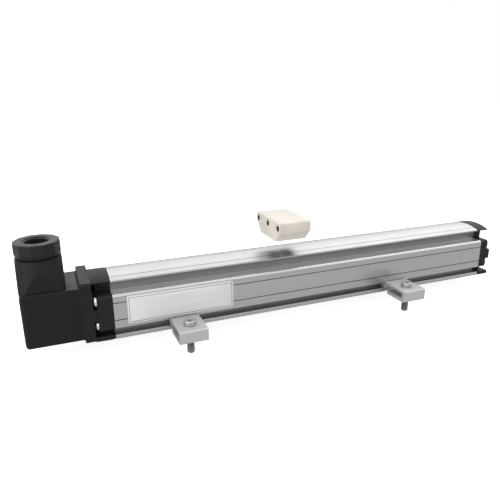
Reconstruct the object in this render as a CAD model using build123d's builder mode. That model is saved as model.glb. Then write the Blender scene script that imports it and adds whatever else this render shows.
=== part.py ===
from build123d import *
import os

# Magnetic linear scale: an aluminium profile with a floating block magnet, two black end
# caps, a square angle plug with a cable gland, and four foot clamps. Millimetres.
# The origin is the middle of the profile's underside, +X runs from the plug to the plain
# end, and +Z is up.

# Profile section, half widths from the middle plane and heights from the underside
profile_length = 241.0
foot_half = 15.7
foot_thickness = 2.45
lower_groove_floor = 11.3
wall_half = 15.96
wall_bottom = 5.9
wall_top = 24.32
shoulder_radius = 1.3
upper_groove_floor = 8.5
lip_half = 11.49
lip_underside = 29.85
lip_thickness = 0.8
dome_rise = 1.93
trim_line_heights = (10.56, 20.05)
trim_line_width = 0.35
trim_line_depth = 0.4
edge_radius = 0.4
foot_round = 0.3
lip_round = 0.2

# Hollows of the profile
cavity_half = 9.8
cavity_floor = 3.0
cavity_roof = 22.3
cavity_corner = 1.2
chamber_half = 6.0
chamber_floor = 24.1
chamber_height = 5.9
chamber_corner = 0.8
port_y = 12.9
port_heights = (8.2, 21.2)
port_radius = 1.5
board_slot_depth = 1.3
board_slot_floor = 14.0

# End caps and their gaskets and screws
gasket_thickness = 0.6
gasket_inset = 0.25
near_cap_web = 7.2
near_cap_recess = 2.0
far_cap_web = 5.0
far_cap_recess = 2.9
rib_half = 15.6
rib_bottom = 11.2
rib_height = 6.4
spigot_depth = 2.4
spigot_wall = 1.5
fit_gap = 0.1
thread_gap = 0.04
cap_screw_radius = 1.46
screw_clearance = 0.2
cap_screw_length = 13.0
pan_head_radius = 2.7
pan_head_height = 1.85
screw_sides = 12
driver_slot_width = 0.8
driver_slot_depth = 0.8

# Connector base, its contact blades and the plug's centre
plug_center_z = 15.74
contact_circle = 9.0
base_half = 15.4
base_height = 32.2
base_thickness = 5.2
base_chamfer = 0.9
base_seal_thickness = 0.4
window_radius = 9.9
collar_radius = 11.0
base_spigot_depth = 3.0
base_screw_y = 12.4
base_screw_radius = 1.2
base_screw_length = 10.0
base_screw_head_radius = 2.25
blind_gap = 0.5
blade_width = 6.3
blade_thickness = 0.8
blade_tip_chamfer = 0.2
blade_slot_gap = 0.2
blade_reach = 12.4
blade_tail = 1.2
blade_tail_width = 3.0
bush_radius = 2.4

# Angle plug
plug_seal_thickness = 0.8
plug_length = 27.3
plug_half = 14.4
plug_height = 28.0
plug_wall = 2.2
plug_edge_chamfer = 0.4
plug_back_radius = 2.2
insert_depth = 16.6
insert_setback = 0.5
terminal_width = 7.6
terminal_thickness = 3.6
terminal_length = 9.0
terminal_slot_depth = 5.2
terminal_screw_radius = 1.2
terminal_screw_depth = 3.2
terminal_head_radius = 1.7
terminal_head_height = 1.4
screw_boss_radius = 4.8
screw_pocket_radius = 3.5
screw_pocket_depth = 3.2
plug_screw_radius = 1.5
plug_screw_head_radius = 2.75
plug_screw_head_height = 2.0
plug_screw_end_gap = 1.4
screw_seal_thickness = 0.6

# Cable gland on top of the plug
gland_setback = 10.95
tower_depth_half = 13.2
tower_width_half = 10.9
tower_corner = 3.0
tower_top = 45.2
tower_top_radius = 11.55
tower_base_radius = 16.0
gland_bore_radius = 9.35
gland_bore_floor = 31.0
cable_way_radius = 6.0
nut_hole_radius = 5.7
nut_head_radius = 11.3
nut_sides = 12
nut_mouth = 1.0
nut_head_bottom = 47.2
nut_head_height = 5.9
nut_edge = 0.5
nut_collar_radius = 10.0
nut_thread_length = 5.8
nut_seat_gap = 0.2
washer_thickness = 0.8
grip_seal_radius = 4.45
nut_thread_gap = 0.05

# Foot clamps and their screws
clamp_length = 15.3
clamp_front = 35.3
clamp_top = 6.8
clamp_top_plate = 1.6
clamp_front_wall = 2.1
clamp_foot_plate = 2.1
clamp_foot_start = 19.2
clamp_corner = 0.7
hook_gap = 0.15
wall_gap = 0.4
hook_reach = 0.6
clamp_screw_y = 27.3
clamp_screw_radius = 2.0
clamp_hole_radius = 2.2
clamp_screw_length = 16.0
clamp_head_radius = 3.2
clamp_head_height = 2.6
hex_key_size = 2.5
hex_key_depth = 1.5
seat_gap = 0.05
near_clamp_setback = 36.3
far_clamp_setback = 68.0

# Floating magnet block
magnet_x = -18.55
magnet_length = 19.3
magnet_half = 16.6
magnet_underside = 40.0
magnet_height = 12.0
magnet_chamfer = 6.2
magnet_top_radius = 1.2
magnet_edge = 0.4
magnet_hole_radius = 1.7
magnet_hole_pitch = 13.6
magnet_hole_z = 48.6
bar_half = 8.0
bar_width = 5.6
bar_height = 5.0
bar_pitch = 9.0

# Rating plate on the front wall
plate_setback = 35.7
plate_length = 57.6
plate_bottom = 7.6
plate_height = 15.2
plate_thickness = 0.3

# Measuring element in the upper chamber
wave_lift = 0.35
wire_radius = 0.4
sleeve_radius = 1.5
sleeve_bore = 0.6
rail_near_setback = 24.0
rail_far_setback = 9.0
pickup_length = 21.0
pickup_setback = 1.5
pickup_wall = 1.4
coil_gap = 0.2
coil_length = 9.0
bias_bar_length = 5.0
bias_bar_width = 2.4
damper_length = 6.0

# Circuit board
board_thickness = 1.6
board_length = 84.0
board_setback = 4.5
chip_places = [(22, 3.5, 9.0, 7.0, 1.6), (38, -3.5, 12.0, 8.0, 1.8), (70, 2.0, 7.0, 6.0, 1.4)]
can_places = [(26, -5.0, 2.5, 5.6), (54, 4.2, 3.1, 5.8), (54, -4.2, 3.1, 5.8)]
can_sides = 16
lead_radius = 0.55
lead_sides = 6
lead_start = 1.6
lead_rise = 2.6
lead_wall_gap = 0.6
pad_setback = 2.5

near_end = -profile_length / 2
far_end = profile_length / 2
near_clamp_x = near_end + near_clamp_setback
far_clamp_x = far_end - far_clamp_setback
plate_x = near_end + plate_setback
chamber_roof = chamber_floor + chamber_height
wave_center_z = chamber_floor + chamber_height / 2 + wave_lift
coil_radius = chamber_roof - wave_center_z - coil_gap
lip_top = lip_underside + lip_thickness
crest = lip_top + dome_rise
near_web = near_end - gasket_thickness - near_cap_web
far_web = far_end + gasket_thickness + far_cap_web
near_rim = near_web - near_cap_recess
base_face = near_rim - base_thickness
plug_mouth = base_face - plug_seal_thickness
plug_back = plug_mouth - plug_length
plug_top = plug_center_z + plug_height / 2
inner_half = plug_half - plug_wall
inner_height = plug_height - 2 * plug_wall
insert_front = plug_mouth - insert_setback
insert_back = insert_front - insert_depth
terminal_back = insert_back + terminal_head_height
terminal_front = terminal_back + terminal_length
gland_x = plug_back + gland_setback
nut_thread_bottom = tower_top + nut_seat_gap - nut_thread_length
washer_top = nut_thread_bottom - fit_gap
ports = [(side * port_y, height) for side in (-1, 1) for height in port_heights]
base_screw_places = [(side * base_screw_y, plug_center_z) for side in (-1, 1)]
contacts = [
    (0, plug_center_z + contact_circle, blade_width, blade_thickness),
    (0, plug_center_z - contact_circle, blade_width, blade_thickness),
    (contact_circle, plug_center_z, blade_thickness, blade_width),
    (-contact_circle, plug_center_z, blade_thickness, blade_width),
]


def save(part, name):
    part.label = name
    export_step(part, f"parts/{name}.step")


def outline_sketch(inset=0.0):
    """Outline of the profile: foot, clamp groove, wall, slider groove, lip and dome.

    Each corner has its half width, its height, the way an inset moves that height, and
    its rounding.
    """
    corners = [
        (foot_half, 0, 1, edge_radius),
        (foot_half, foot_thickness, -1, foot_round),
        (lower_groove_floor, foot_thickness, -1, 0),
        (lower_groove_floor, wall_bottom, 1, 0),
        (wall_half, wall_bottom, 1, foot_round),
        (wall_half, wall_top, -1, shoulder_radius),
        (upper_groove_floor, wall_top, -1, 0),
        (upper_groove_floor, lip_underside, 1, 0),
        (lip_half, lip_underside, 1, lip_round),
        (lip_half, lip_top, -1, 0),
    ]
    right = [(y - inset, z + way * inset) for y, z, way, _ in corners]
    left = [(-y, z) for y, z in reversed(right)]
    with BuildSketch() as outline:
        with BuildLine():
            Polyline(*left, *right)
            ThreePointArc(right[-1], (0, crest - inset), left[0])
        make_face()
        for (y, z), (_, _, _, radius) in zip(right, corners):
            if radius > 0:
                fillet(outline.vertices().sort_by_distance((y, z, 0))[0], radius)
                fillet(outline.vertices().sort_by_distance((-y, z, 0))[0], radius)
    return outline.sketch


def rim_sketch():
    """The parts of the outline that stand proud on a cap: dome, foot and middle rib."""
    with BuildSketch() as rims:
        add(outline_sketch())
        with Locations((0, (foot_thickness + lip_underside) / 2)):
            Rectangle(4 * wall_half, lip_underside - foot_thickness, mode=Mode.SUBTRACT)
        with Locations((0, rib_bottom + rib_height / 2)):
            Rectangle(2 * rib_half, rib_height)
    return rims.sketch


def cavity_sketch(margin=0.0):
    """Main cavity of the profile, shrunk all round by the margin."""
    with BuildSketch() as cavity:
        with Locations((0, (cavity_floor + cavity_roof) / 2)):
            RectangleRounded(
                2 * (cavity_half - margin),
                cavity_roof - cavity_floor - 2 * margin,
                cavity_corner,
            )
    return cavity.sketch


def chamber_sketch(margin=0.0):
    """Upper chamber under the dome, shrunk all round by the margin."""
    with BuildSketch() as chamber:
        with Locations((0, (chamber_floor + chamber_roof) / 2)):
            RectangleRounded(
                2 * (chamber_half - margin),
                chamber_roof - chamber_floor - 2 * margin,
                chamber_corner,
            )
    return chamber.sketch


def make_profile():
    with BuildPart() as profile_housing:
        with BuildSketch(Plane.YZ.offset(near_end)):
            add(outline_sketch())
            add(cavity_sketch(), mode=Mode.SUBTRACT)
            add(chamber_sketch(), mode=Mode.SUBTRACT)
            with Locations(*ports):
                Circle(port_radius, mode=Mode.SUBTRACT)
            with Locations((0, board_slot_floor + board_thickness / 2 + fit_gap)):
                Rectangle(
                    2 * (cavity_half + board_slot_depth),
                    board_thickness + 2 * fit_gap,
                    mode=Mode.SUBTRACT,
                )
            trim_lines = [(side * wall_half, z) for side in (-1, 1) for z in trim_line_heights]
            with Locations(*trim_lines):
                Rectangle(2 * trim_line_depth, trim_line_width, mode=Mode.SUBTRACT)
        extrude(amount=profile_length)
    return profile_housing.part


def make_gasket(end, outward):
    with BuildPart() as gasket:
        with BuildSketch(Plane.YZ.offset(end)):
            add(outline_sketch(gasket_inset))
            add(cavity_sketch(), mode=Mode.SUBTRACT)
            add(chamber_sketch(), mode=Mode.SUBTRACT)
            with Locations(*ports):
                RegularPolygon(port_radius + screw_clearance, screw_sides, mode=Mode.SUBTRACT)
        extrude(amount=outward * gasket_thickness)
    return gasket.part


def make_cap(end, web, recess, has_window):
    """End cap: a web of the profile's outline with raised rims and a spigot inside."""
    outward = 1 if web > end else -1
    inner = end + outward * gasket_thickness
    web_thickness = abs(web - inner)
    with BuildPart() as cap:
        with BuildSketch(Plane.YZ.offset(inner)):
            add(outline_sketch())
        extrude(amount=outward * web_thickness)
        with BuildSketch(Plane.YZ.offset(web)):
            add(rim_sketch())
            if has_window:
                with Locations((0, plug_center_z)):
                    Circle(collar_radius)
        extrude(amount=outward * recess)
        if has_window:
            with BuildSketch(Plane.YZ.offset(web + outward * recess)):
                with Locations((0, plug_center_z)):
                    Circle(collar_radius)
            extrude(amount=-outward * base_seal_thickness, mode=Mode.SUBTRACT)
        with BuildSketch(Plane.YZ.offset(inner)):
            add(cavity_sketch(fit_gap))
            add(cavity_sketch(fit_gap + spigot_wall), mode=Mode.SUBTRACT)
        extrude(amount=-outward * (gasket_thickness + spigot_depth))
        if has_window:
            with BuildSketch(Plane.YZ.offset(inner)):
                with Locations((0, plug_center_z)):
                    Circle(window_radius)
            extrude(amount=outward * (web_thickness + recess), mode=Mode.SUBTRACT)
            with BuildSketch(Plane.YZ.offset(inner)):
                with Locations(*base_screw_places):
                    RegularPolygon(base_screw_radius + fit_gap, screw_sides)
            extrude(amount=outward * (web_thickness + recess), mode=Mode.SUBTRACT)
            with BuildSketch(Plane.YZ.offset(inner)):
                with Locations(*base_screw_places):
                    RegularPolygon(base_screw_head_radius + fit_gap, screw_sides)
            extrude(amount=outward * (pan_head_height + fit_gap), mode=Mode.SUBTRACT)
        with BuildSketch(Plane.YZ.offset(inner)):
            with Locations(*ports):
                RegularPolygon(cap_screw_radius + screw_clearance, screw_sides)
        extrude(amount=outward * (web_thickness + recess), mode=Mode.SUBTRACT)
    return cap.part


def make_pan_screws(seat, outward, places, radius, head_radius, length):
    """Pan head screws along X: shanks run inwards from the seat, heads stand outwards."""
    with BuildPart() as screws:
        with BuildSketch(Plane.YZ.offset(seat)):
            with Locations(*places):
                RegularPolygon(head_radius, screw_sides)
        extrude(amount=outward * pan_head_height)
        with BuildSketch(Plane.YZ.offset(seat)):
            with Locations(*places):
                RegularPolygon(radius, screw_sides)
        extrude(amount=-outward * length)
    return screws.part


def make_rating_plate():
    with BuildPart() as rating_plate:
        with BuildSketch(Plane.XZ.offset(wall_half)):
            with Locations((plate_x, plate_bottom + plate_height / 2)):
                RectangleRounded(plate_length, plate_height, edge_radius)
        extrude(amount=plate_thickness)
    return rating_plate.part


def make_rail():
    """Plastic rail in the upper chamber with a round bottomed trough for the sleeve."""
    start = near_end + rail_near_setback
    with BuildPart() as waveguide_rail:
        with BuildSketch(Plane.YZ.offset(start)):
            add(chamber_sketch(fit_gap))
            trough = sleeve_radius + thread_gap
            with Locations((0, wave_center_z)):
                Circle(trough, mode=Mode.SUBTRACT)
            with Locations((0, (wave_center_z + chamber_roof) / 2)):
                Rectangle(2 * trough, chamber_roof - wave_center_z, mode=Mode.SUBTRACT)
        extrude(amount=profile_length - rail_near_setback - rail_far_setback)
    return waveguide_rail.part


def make_sleeve():
    start = near_end + rail_near_setback
    with BuildPart() as waveguide_sleeve:
        with BuildSketch(Plane.YZ.offset(start)):
            with Locations((0, wave_center_z)):
                Circle(sleeve_radius)
                Circle(sleeve_bore, mode=Mode.SUBTRACT)
        extrude(amount=profile_length - rail_near_setback - rail_far_setback)
    return waveguide_sleeve.part


def make_wire():
    start = near_end + pickup_setback + pickup_wall
    stop = far_end - rail_far_setback + damper_length
    with BuildPart() as waveguide_wire:
        with BuildSketch(Plane.YZ.offset(start)):
            with Locations((0, wave_center_z)):
                Circle(wire_radius)
        extrude(amount=stop - start)
    return waveguide_wire.part


def make_damper():
    with BuildPart() as wave_damper:
        with BuildSketch(Plane.YZ.offset(far_end - rail_far_setback + thread_gap)):
            add(chamber_sketch(fit_gap))
        extrude(amount=damper_length)
        with BuildSketch(Plane.YZ.offset(far_end - rail_far_setback)):
            with Locations((0, wave_center_z)):
                Circle(wire_radius + thread_gap)
        extrude(amount=damper_length, mode=Mode.SUBTRACT)
    return wave_damper.part


def make_pickup_housing():
    """Open topped box round the coil at the head of the waveguide."""
    start = near_end + pickup_setback
    width = 2 * (chamber_half - fit_gap - pickup_wall)
    with BuildPart() as pickup_housing:
        with BuildSketch(Plane.YZ.offset(start)):
            add(chamber_sketch(fit_gap))
        extrude(amount=pickup_length)
        with BuildSketch(Plane.XY.offset(chamber_roof)):
            with Locations((start + pickup_length / 2, 0)):
                Rectangle(pickup_length - 2 * pickup_wall, width)
        depth = chamber_roof - chamber_floor - fit_gap - pickup_wall / 2
        extrude(amount=-depth, mode=Mode.SUBTRACT)
        with BuildSketch(Plane.YZ.offset(start + pickup_wall)):
            with Locations((0, wave_center_z)):
                Circle(wire_radius + thread_gap)
        extrude(amount=pickup_length, mode=Mode.SUBTRACT)
    return pickup_housing.part


def make_coil():
    start = near_end + pickup_setback + 2 * pickup_wall
    with BuildPart() as pickup_coil:
        with BuildSketch(Plane.YZ.offset(start)):
            with Locations((0, wave_center_z)):
                Circle(coil_radius)
                Circle(wire_radius + thread_gap, mode=Mode.SUBTRACT)
        extrude(amount=coil_length)
    return pickup_coil.part


def make_bias_bar():
    floor = chamber_floor + fit_gap + pickup_wall / 2
    height = chamber_roof - floor - pickup_wall
    center = near_end + pickup_setback + pickup_length - 2 * pickup_wall - bias_bar_length / 2
    with BuildPart() as bias_magnet:
        with BuildSketch(Plane.XY.offset(floor)):
            with Locations((center, wire_radius + fit_gap + bias_bar_width / 2)):
                Rectangle(bias_bar_length, bias_bar_width)
        extrude(amount=height)
    return bias_magnet.part


def make_board():
    with BuildPart() as circuit_board:
        with BuildSketch(Plane.XY.offset(board_slot_floor + fit_gap)):
            with Locations((near_end + board_setback + board_length / 2, 0)):
                Rectangle(board_length, 2 * (cavity_half + board_slot_depth - fit_gap))
        extrude(amount=board_thickness)
    return circuit_board.part


def make_components():
    """Chips, capacitors and a transformer standing on the circuit board."""
    top = board_slot_floor + fit_gap + board_thickness
    start = near_end + board_setback
    with BuildPart() as board_components:
        for along, across, length, width, height in chip_places:
            with BuildSketch(Plane.XY.offset(top)):
                with Locations((start + along, across)):
                    Rectangle(length, width)
            extrude(amount=height)
        for along, across, radius, height in can_places:
            with BuildSketch(Plane.XY.offset(top)):
                with Locations((start + along, across)):
                    RegularPolygon(radius, can_sides)
            extrude(amount=height)
    return board_components.part


def make_leads():
    """Four leads that draw together inside the cap's spigot and end on the circuit board."""
    tail_end = near_rim + base_spigot_depth + blade_tail
    board_under = board_slot_floor + fit_gap
    board_top = board_under + board_thickness
    duct_wall = fit_gap + spigot_wall + lead_radius + lead_wall_gap
    duct_half = cavity_half - duct_wall
    duct_top = cavity_roof - duct_wall
    duct_bottom = cavity_floor + duct_wall + 2 * lead_radius
    over_board = board_top + lead_rise
    duct_x = near_end - gasket_thickness
    pad_x = near_end + board_setback + pad_setback
    ends = [
        ((0, duct_top), (-lead_rise, over_board), board_top),
        ((0, duct_bottom), (lead_rise, board_under - lead_rise), board_under),
        ((duct_half, over_board), (duct_half - lead_wall_gap, over_board), board_top),
        ((-duct_half, over_board), (lead_wall_gap - duct_half, over_board), board_top),
    ]
    with BuildPart() as hookup_leads:
        for (y, z, _, _), (duct, pad, pad_z) in zip(contacts, ends):
            with BuildLine() as route:
                Polyline(
                    (tail_end, y, z),
                    (tail_end + lead_start, y, z),
                    (duct_x, *duct),
                    (pad_x, *pad),
                    (pad_x, pad[0], pad_z),
                )
            with BuildSketch(Plane(origin=route.line @ 0, z_dir=route.line % 0)):
                RegularPolygon(lead_radius, lead_sides)
            sweep(path=route.line, transition=Transition.RIGHT)
    return hookup_leads.part


def make_base():
    """Square flange that carries the blades, with a round spigot into the cap's window."""
    with BuildPart() as connector_base:
        with BuildSketch(Plane.YZ.offset(near_rim)):
            with Locations((0, base_height / 2)):
                flange = Rectangle(2 * base_half, base_height)
            chamfer(flange.vertices(), base_chamfer)
        extrude(amount=-base_thickness)
        with BuildSketch(Plane.YZ.offset(near_rim)):
            with Locations((0, plug_center_z)):
                Circle(window_radius - 2 * fit_gap)
        extrude(amount=base_spigot_depth)
        with BuildSketch(Plane.YZ.offset(base_face)):
            for y, z, width, height in contacts:
                with Locations((y, z)):
                    Rectangle(width + 2 * thread_gap, height + 2 * thread_gap)
        extrude(amount=base_thickness + base_spigot_depth, mode=Mode.SUBTRACT)
        with BuildSketch(Plane.YZ.offset(base_face)):
            with Locations((0, plug_center_z)):
                Circle(bush_radius + thread_gap)
        extrude(amount=base_thickness, mode=Mode.SUBTRACT)
        with BuildSketch(Plane.YZ.offset(near_rim)):
            with Locations(*base_screw_places):
                RegularPolygon(base_screw_radius + thread_gap, screw_sides)
        screw_end = base_screw_length - (near_cap_web + near_cap_recess - pan_head_height)
        extrude(amount=-(screw_end + blind_gap), mode=Mode.SUBTRACT)
    return connector_base.part


def make_base_seal():
    with BuildPart() as base_seal:
        with BuildSketch(Plane.YZ.offset(near_rim)):
            with Locations((0, plug_center_z)):
                Circle(collar_radius)
                Circle(window_radius, mode=Mode.SUBTRACT)
        extrude(amount=base_seal_thickness)
    return base_seal.part


def make_bush():
    with BuildPart() as thread_bush:
        with BuildSketch(Plane.YZ.offset(base_face)):
            with Locations((0, plug_center_z)):
                Circle(bush_radius)
                Circle(plug_screw_radius + thread_gap, mode=Mode.SUBTRACT)
        extrude(amount=base_thickness)
    return thread_bush.part


def make_blades(chosen):
    """Flat contact blades through the base, with narrow solder tails behind it."""
    with BuildPart() as blades:
        for y, z, width, height in chosen:
            with BuildSketch(Plane.YZ.offset(near_rim + base_spigot_depth)):
                with Locations((y, z)):
                    Rectangle(width, height)
            extrude(amount=-(base_thickness + base_spigot_depth + blade_reach))
            with BuildSketch(Plane.YZ.offset(near_rim + base_spigot_depth)):
                with Locations((y, z)):
                    tail_y = min(width, blade_tail_width)
                    tail_z = min(height, blade_tail_width)
                    Rectangle(tail_y, tail_z)
            extrude(amount=blade_tail)
        tips = blades.faces().group_by(Axis.X)[0]
        chamfer(tips.edges(), blade_tip_chamfer)
    return blades.part


def make_plug_seal():
    """Flat seal between plug and base, cut out round the blades and the screw."""
    with BuildPart() as plug_seal:
        with BuildSketch(Plane.YZ.offset(base_face)):
            with Locations((0, plug_center_z)):
                Rectangle(2 * plug_half, plug_height)
                Circle(bush_radius, mode=Mode.SUBTRACT)
            for y, z, width, height in contacts:
                with Locations((y, z)):
                    slot_height = height + 2 * blade_slot_gap
                    Rectangle(width + 2 * blade_slot_gap, slot_height, mode=Mode.SUBTRACT)
        extrude(amount=-plug_seal_thickness)
    return plug_seal.part


def make_tower():
    """Gland tower: a rounded block trimmed by a cone, so that it runs from square to round."""
    height = tower_top - plug_top + plug_wall
    with BuildPart() as tower:
        with BuildSketch(Plane.XY.offset(tower_top - height)):
            with Locations((gland_x, 0)):
                RectangleRounded(2 * tower_width_half, 2 * tower_depth_half, tower_corner)
        extrude(amount=height)
        with Locations((gland_x, 0, tower_top - height / 2)):
            Cone(tower_base_radius, tower_top_radius, height, mode=Mode.INTERSECT)
    return tower.part


def make_plug_housing():
    """Square shell, open towards the base, with the gland tower on its top."""
    with BuildPart() as plug_housing:
        with BuildSketch(Plane.YZ.offset(plug_mouth)):
            with Locations((0, plug_center_z)):
                Rectangle(2 * plug_half, plug_height)
        extrude(amount=-plug_length)
        fillet(plug_housing.faces().sort_by(Axis.X)[0].edges(), plug_back_radius)
        with BuildSketch(Plane.YZ.offset(plug_mouth)):
            with Locations((0, plug_center_z)):
                section = Rectangle(2 * plug_half, plug_height)
            chamfer(section.vertices(), plug_edge_chamfer)
        extrude(amount=-plug_length, mode=Mode.INTERSECT)
        add(make_tower())
        with BuildSketch(Plane.YZ.offset(plug_mouth)):
            with Locations((0, plug_center_z)):
                Rectangle(2 * inner_half, inner_height)
        extrude(amount=-(plug_length - plug_wall), mode=Mode.SUBTRACT)
        with BuildSketch(Plane.YZ.offset(plug_back + plug_wall)):
            with Locations((0, plug_center_z)):
                Circle(screw_boss_radius)
        extrude(amount=insert_back - fit_gap - plug_back - plug_wall)
        with BuildSketch(Plane.XY.offset(gland_bore_floor)):
            with Locations((gland_x, 0)):
                Circle(gland_bore_radius)
        extrude(amount=tower_top - gland_bore_floor, mode=Mode.SUBTRACT)
        with BuildSketch(Plane.XY.offset(gland_bore_floor)):
            with Locations((gland_x, 0)):
                Circle(cable_way_radius)
        extrude(amount=-(gland_bore_floor - plug_top + 2 * plug_wall), mode=Mode.SUBTRACT)
        with BuildSketch(Plane.YZ.offset(plug_back)):
            with Locations((0, plug_center_z)):
                Circle(screw_pocket_radius)
        extrude(amount=screw_pocket_depth, mode=Mode.SUBTRACT)
        with BuildSketch(Plane.YZ.offset(plug_back)):
            with Locations((0, plug_center_z)):
                Circle(plug_screw_radius + screw_clearance)
        extrude(amount=plug_length, mode=Mode.SUBTRACT)
    return plug_housing.part


def make_insert():
    """Terminal block with blade slots in front and four terminal pockets behind."""
    with BuildPart() as plug_insert:
        with BuildSketch(Plane.YZ.offset(insert_front)):
            with Locations((0, plug_center_z)):
                RectangleRounded(2 * (inner_half - fit_gap), inner_height - 2 * fit_gap, edge_radius)
                Circle(plug_screw_radius + screw_clearance, mode=Mode.SUBTRACT)
            for y, z, width, height in contacts:
                with Locations((y, z)):
                    slot_height = height + 2 * blade_slot_gap
                    Rectangle(width + 2 * blade_slot_gap, slot_height, mode=Mode.SUBTRACT)
        extrude(amount=-insert_depth)
        with BuildSketch(Plane.YZ.offset(insert_back)):
            for y, z, width, height in contacts:
                with Locations((y, z)):
                    across = terminal_width if width > height else terminal_thickness
                    upright = terminal_thickness if width > height else terminal_width
                    Rectangle(across + 2 * fit_gap, upright + 2 * fit_gap)
        extrude(amount=terminal_head_height + terminal_length + fit_gap, mode=Mode.SUBTRACT)
    return plug_insert.part


def make_terminals():
    with BuildPart() as terminal_clamps:
        for y, z, width, height in contacts:
            across = terminal_width if width > height else terminal_thickness
            upright = terminal_thickness if width > height else terminal_width
            with BuildSketch(Plane.YZ.offset(terminal_front)):
                with Locations((y, z)):
                    Rectangle(across, upright)
            extrude(amount=-terminal_length)
            with BuildSketch(Plane.YZ.offset(terminal_front)):
                with Locations((y, z)):
                    Rectangle(width + 2 * fit_gap, height + 2 * fit_gap)
            extrude(amount=-terminal_slot_depth, mode=Mode.SUBTRACT)
            with BuildSketch(Plane.YZ.offset(terminal_back)):
                with Locations((y, z)):
                    RegularPolygon(terminal_screw_radius + thread_gap, screw_sides)
            extrude(amount=terminal_screw_depth, mode=Mode.SUBTRACT)
    return terminal_clamps.part


def make_terminal_screws():
    places = [(y, z) for y, z, _, _ in contacts]
    with BuildPart() as terminal_screws:
        with BuildSketch(Plane.YZ.offset(terminal_back)):
            with Locations(*places):
                RegularPolygon(terminal_head_radius, screw_sides)
        extrude(amount=-terminal_head_height)
        with BuildSketch(Plane.YZ.offset(terminal_back)):
            with Locations(*places):
                RegularPolygon(terminal_screw_radius, screw_sides)
        extrude(amount=terminal_screw_depth - fit_gap)
    return terminal_screws.part


def make_screw_seal():
    floor = plug_back + screw_pocket_depth
    with BuildPart() as screw_seal:
        with BuildSketch(Plane.YZ.offset(floor)):
            with Locations((0, plug_center_z)):
                Circle(screw_pocket_radius - fit_gap)
                Circle(plug_screw_radius + fit_gap, mode=Mode.SUBTRACT)
        extrude(amount=-screw_seal_thickness)
    return screw_seal.part


def make_plug_screw():
    """Long cheese head screw that holds the plug to the base."""
    seat = plug_back + screw_pocket_depth - screw_seal_thickness - seat_gap
    with BuildPart() as plug_screw:
        with BuildSketch(Plane.YZ.offset(seat)):
            with Locations((0, plug_center_z)):
                RegularPolygon(plug_screw_head_radius, 2 * screw_sides)
        extrude(amount=-plug_screw_head_height)
        with BuildSketch(Plane.YZ.offset(seat - plug_screw_head_height)):
            with Locations((0, plug_center_z)):
                Rectangle(driver_slot_width, 2 * plug_screw_head_radius)
        extrude(amount=driver_slot_depth, mode=Mode.SUBTRACT)
        with BuildSketch(Plane.YZ.offset(seat)):
            with Locations((0, plug_center_z)):
                Circle(plug_screw_radius)
        extrude(amount=near_rim - plug_screw_end_gap - seat)
    return plug_screw.part


def make_gland_seal():
    """Rubber bush in the tower."""
    top = washer_top - washer_thickness - fit_gap
    bottom = gland_bore_floor + thread_gap
    with BuildPart() as gland_seal:
        with BuildSketch(Plane.XY.offset(bottom)):
            with Locations((gland_x, 0)):
                Circle(gland_bore_radius - fit_gap)
                Circle(grip_seal_radius, mode=Mode.SUBTRACT)
        extrude(amount=top - bottom)
    return gland_seal.part


def make_gland_washer():
    with BuildPart() as gland_washer:
        with BuildSketch(Plane.XY.offset(washer_top)):
            with Locations((gland_x, 0)):
                Circle(gland_bore_radius - fit_gap)
                Circle(nut_hole_radius, mode=Mode.SUBTRACT)
        extrude(amount=-washer_thickness)
    return gland_washer.part


def make_gland_nut():
    """Gland nut: thread, collar and a twelve sided head with a coned mouth."""
    collar_bottom = tower_top + nut_seat_gap
    with BuildPart() as gland_nut:
        with BuildSketch(Plane.XY.offset(nut_head_bottom)):
            with Locations((gland_x, 0)):
                RegularPolygon(nut_head_radius, nut_sides, rotation=180 / nut_sides)
        extrude(amount=nut_head_height)
        chamfer(gland_nut.faces().sort_by(Axis.Z)[-1].edges(), nut_edge)
        with BuildSketch(Plane.XY.offset(nut_head_bottom)):
            with Locations((gland_x, 0)):
                Circle(nut_collar_radius)
        extrude(amount=collar_bottom - nut_head_bottom)
        with BuildSketch(Plane.XY.offset(collar_bottom)):
            with Locations((gland_x, 0)):
                Circle(gland_bore_radius - nut_thread_gap)
        extrude(amount=nut_thread_bottom - collar_bottom)
        with BuildSketch(Plane.XY.offset(nut_thread_bottom)):
            with Locations((gland_x, 0)):
                Circle(nut_hole_radius)
        extrude(amount=nut_head_bottom + nut_head_height - nut_thread_bottom, mode=Mode.SUBTRACT)
        mouth = gland_nut.faces().sort_by(Axis.Z)[-1].inner_wires()[0]
        chamfer(mouth.edges(), nut_mouth)
    return gland_nut.part


def make_foot_clamp(center_x, side):
    """Hooked C clamp: the hook lies in the lower groove, the foot plate on the machine."""
    hook_tip = lower_groove_floor + hook_reach
    hook_top = wall_bottom - wall_gap
    hook_bottom = foot_thickness + hook_gap
    neck = foot_half + 2 * wall_gap
    body_start = wall_half + wall_gap
    roof = clamp_top - clamp_top_plate
    outline = [
        (clamp_front, 0),
        (clamp_front, clamp_top),
        (body_start, clamp_top),
        (body_start, hook_top),
        (hook_tip, hook_top),
        (hook_tip, hook_bottom),
        (neck, hook_bottom),
        (neck + roof - hook_bottom, roof),
        (clamp_front - clamp_front_wall, roof),
        (clamp_front - clamp_front_wall, clamp_foot_plate),
        (clamp_foot_start, clamp_foot_plate),
        (clamp_foot_start, 0),
    ]
    with BuildPart() as foot_clamp:
        with BuildSketch(Plane.YZ.offset(center_x - clamp_length / 2)):
            with BuildLine():
                Polyline(*[(side * y, z) for y, z in outline], close=True)
            make_face()
        extrude(amount=clamp_length)
        outer_edges = foot_clamp.edges().filter_by(Axis.X).group_by(Axis.Y)
        fillet(outer_edges[-1 if side > 0 else 0], clamp_corner)
        with BuildSketch(Plane.XY):
            with Locations((center_x, side * clamp_screw_y)):
                Circle(clamp_hole_radius)
        extrude(amount=clamp_top, mode=Mode.SUBTRACT)
    return foot_clamp.part


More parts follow.
